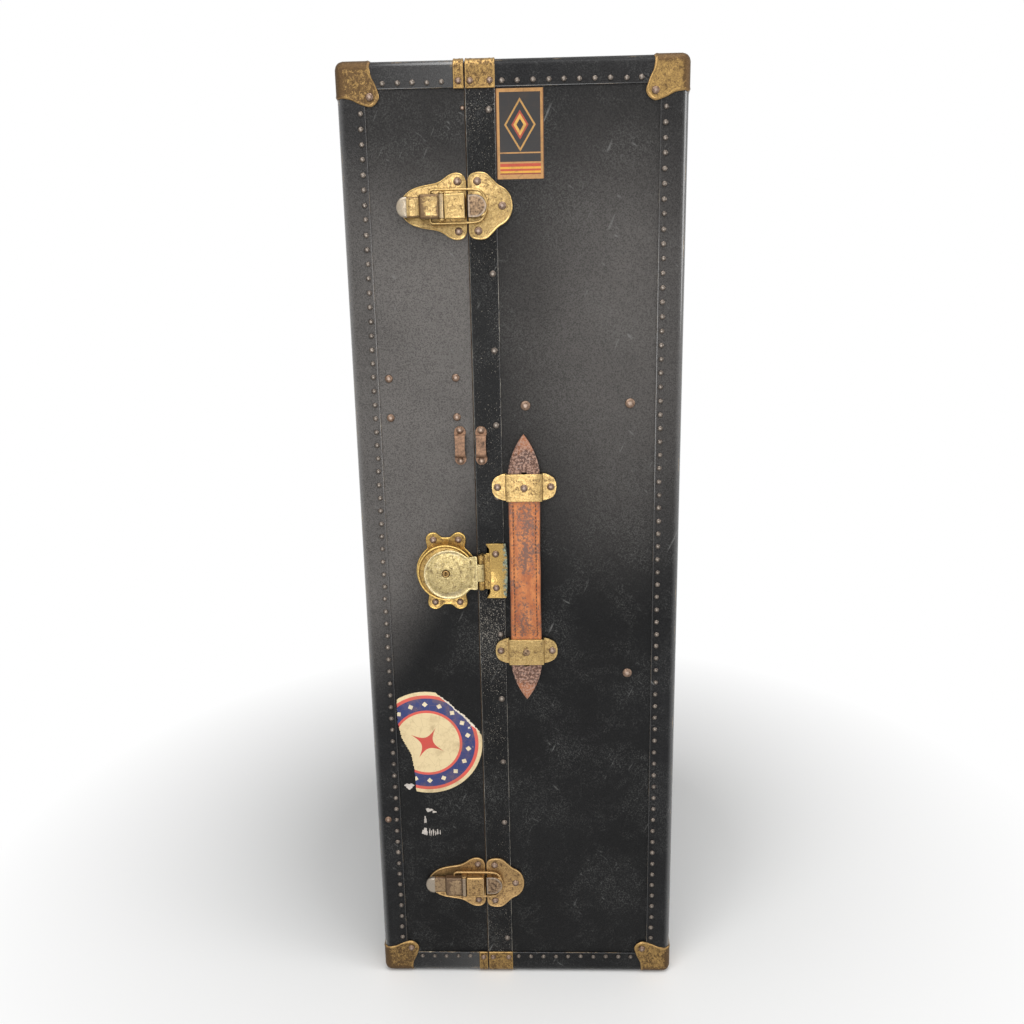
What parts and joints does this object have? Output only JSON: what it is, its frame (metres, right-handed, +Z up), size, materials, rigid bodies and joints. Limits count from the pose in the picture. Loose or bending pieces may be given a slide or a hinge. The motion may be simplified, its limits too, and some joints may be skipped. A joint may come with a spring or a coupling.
{
  "type": "wardrobe trunk",
  "caption": "Upright wardrobe trunk in black fibre with brass corners, draw latches, a hasp lock and a leather handle; it opens on back hinges to drawers and a hanging rail.",
  "frame": {"origin": "on the floor, under the middle of the closed trunk with its hardware", "axes": "+X to the right and -Y out of the front, which has the latches; +Z up"},
  "size_m": [0.3528, 0.582, 1.0369],
  "materials": {
    "fibre_shell": "black vulcanised fibre over plywood, scuffed, half matt",
    "fibre_binding": "black vulcanised fibre, worn shiny on the edges",
    "black_enamel": "glossy black enamel, chipped to bright metal",
    "brass": "brass-plated steel, patinated, worn to grey steel",
    "rusty_steel": "brown, rusted",
    "bright_steel": "nickel-plated, dull",
    "leather": "tan saddle leather, stitched, dark with wear at the ends",
    "hanger_wood": "varnished beech with a wire hook",
    "rack_wood": "stained plywood",
    "drawer_covering": "plywood covered with grey-green cloth paper"
  },
  "bodies": {
    "wide_half": {"wide_side_panel": "fibre_shell", "wide_frame": "fibre_shell", "wide_binding": "fibre_binding", "wide_corner_front_top": "brass", "wide_corner_front_bottom": "brass", "wide_corner_rear_top": "brass", "wide_corner_rear_bottom": "brass", "wide_clamp_top": "brass", "wide_clamp_bottom": "brass", "closing_band": "black_enamel", "dust_lip": "bright_steel", "hinge_leaf_wide_top": "brass", "hinge_leaf_wide_middle": "brass", "hinge_leaf_wide_bottom": "brass", "strike_top": "brass", "strike_bottom": "brass", "footman_loop_wide": "rusty_steel", "hasp_leaf": "brass", "handle_loop_top": "brass", "handle_loop_bottom": "brass", "trolley_rail": "bright_steel"},
    "narrow_half": {"narrow_side_panel": "fibre_shell", "narrow_frame": "fibre_shell", "narrow_binding": "fibre_binding", "narrow_corner_front_top": "brass", "narrow_corner_front_bottom": "brass", "narrow_corner_rear_top": "brass", "narrow_corner_rear_bottom": "brass", "narrow_clamp_top": "brass", "narrow_clamp_bottom": "brass", "hinge_leaf_narrow_top": "brass", "hinge_leaf_narrow_middle": "brass", "hinge_leaf_narrow_bottom": "brass", "latch_plate_top": "brass", "latch_plate_bottom": "brass", "footman_loop_narrow": "rusty_steel", "lock_case": "brass", "drawer_rack": "rack_wood"},
    "lever_top": {"latch_lever_top": "brass"},
    "bail_top": {"latch_bail_top": "brass"},
    "lever_bottom": {"latch_lever_bottom": "brass"},
    "bail_bottom": {"latch_bail_bottom": "brass"},
    "hasp": {"lock_hasp": "brass"},
    "plug": {"lock_plug": "brass"},
    "strap_top": {"strap_top_end": "leather", "strap_upper_flex": "leather"},
    "strap_grip": {"strap_grip": "leather"},
    "strap_bottom": {"strap_bottom_end": "leather", "strap_lower_flex": "leather"},
    "drawer_1": {"drawer_1": "drawer_covering"},
    "drawer_2": {"drawer_2": "drawer_covering"},
    "drawer_3": {"drawer_3": "drawer_covering"},
    "drawer_4": {"drawer_4": "drawer_covering"},
    "drawer_5": {"drawer_5": "drawer_covering"},
    "trolley": {"hanger_trolley": "bright_steel", "hanger_1": "hanger_wood", "hanger_2": "hanger_wood", "hanger_3": "hanger_wood", "hanger_4": "hanger_wood"}
  },
  "joints": [
    {"name": "trunk_opening", "type": "hinge", "parent": "wide_half", "child": "narrow_half", "pos_m": [-0.0465, 0.2868, 0.5175], "axis": [0, 0, -1], "range_deg": [0, 180]},
    {"name": "latch_top", "type": "hinge", "parent": "narrow_half", "child": "lever_top", "pos_m": [-0.072, -0.2881, 0.896], "axis": [0, 0, 1], "range_deg": [0, 120]},
    {"name": "bail_top", "type": "hinge", "parent": "lever_top", "child": "bail_top", "pos_m": [-0.084, -0.2831, 0.896], "axis": [0, 0, 1], "range_deg": [-168, 0]},
    {"name": "latch_bottom", "type": "hinge", "parent": "narrow_half", "child": "lever_bottom", "pos_m": [-0.072, -0.2881, 0.125], "axis": [0, 0, 1], "range_deg": [0, 120]},
    {"name": "bail_bottom", "type": "hinge", "parent": "lever_bottom", "child": "bail_bottom", "pos_m": [-0.084, -0.2831, 0.125], "axis": [0, 0, 1], "range_deg": [-168, 0]},
    {"name": "hasp", "type": "hinge", "parent": "wide_half", "child": "hasp", "pos_m": [-0.0419, -0.2843, 0.5135], "axis": [0, 0, 1], "range_deg": [0, 150]},
    {"name": "lock_plug", "type": "hinge", "parent": "narrow_half", "child": "plug", "pos_m": [-0.0805, -0.2771, 0.5135], "axis": [0, -1, 0], "range_deg": [0, 90]},
    {"name": "handle_top_slide", "type": "slide", "parent": "wide_half", "child": "strap_top", "axis": [0, 0, -1], "range_m": [0, 0.012]},
    {"name": "handle_lift", "type": "slide", "parent": "strap_top", "child": "strap_grip", "axis": [0, -0.9363, 0.3511], "range_m": [0, 0.03418], "deforming": ["strap_upper_flex"]},
    {"name": "handle_bottom_slide", "type": "slide", "parent": "strap_grip", "child": "strap_bottom", "axis": [0, 0.9363, 0.3511], "range_m": [0, 0.03418], "deforming": ["strap_lower_flex"]},
    {"name": "drawer_1_slide", "type": "slide", "parent": "narrow_half", "child": "drawer_1", "axis": [1, 0, 0], "range_m": [0, 0.09]},
    {"name": "drawer_2_slide", "type": "slide", "parent": "narrow_half", "child": "drawer_2", "axis": [1, 0, 0], "range_m": [0, 0.09]},
    {"name": "drawer_3_slide", "type": "slide", "parent": "narrow_half", "child": "drawer_3", "axis": [1, 0, 0], "range_m": [0, 0.09]},
    {"name": "drawer_4_slide", "type": "slide", "parent": "narrow_half", "child": "drawer_4", "axis": [1, 0, 0], "range_m": [0, 0.09]},
    {"name": "drawer_5_slide", "type": "slide", "parent": "narrow_half", "child": "drawer_5", "axis": [1, 0, 0], "range_m": [0, 0.09]},
    {"name": "trolley_slide", "type": "slide", "parent": "wide_half", "child": "trolley", "axis": [-1, 0, 0], "range_m": [0, 0.092]}
  ],
  "couplings": [
    {"joint": "bail_top", "follows": "latch_top", "ratio": -1.4},
    {"joint": "bail_bottom", "follows": "latch_bottom", "ratio": -1.4},
    {"joint": "handle_top_slide", "follows": "handle_lift", "ratio": 0.35112},
    {"joint": "handle_bottom_slide", "follows": "handle_lift", "ratio": 1}
  ]
}
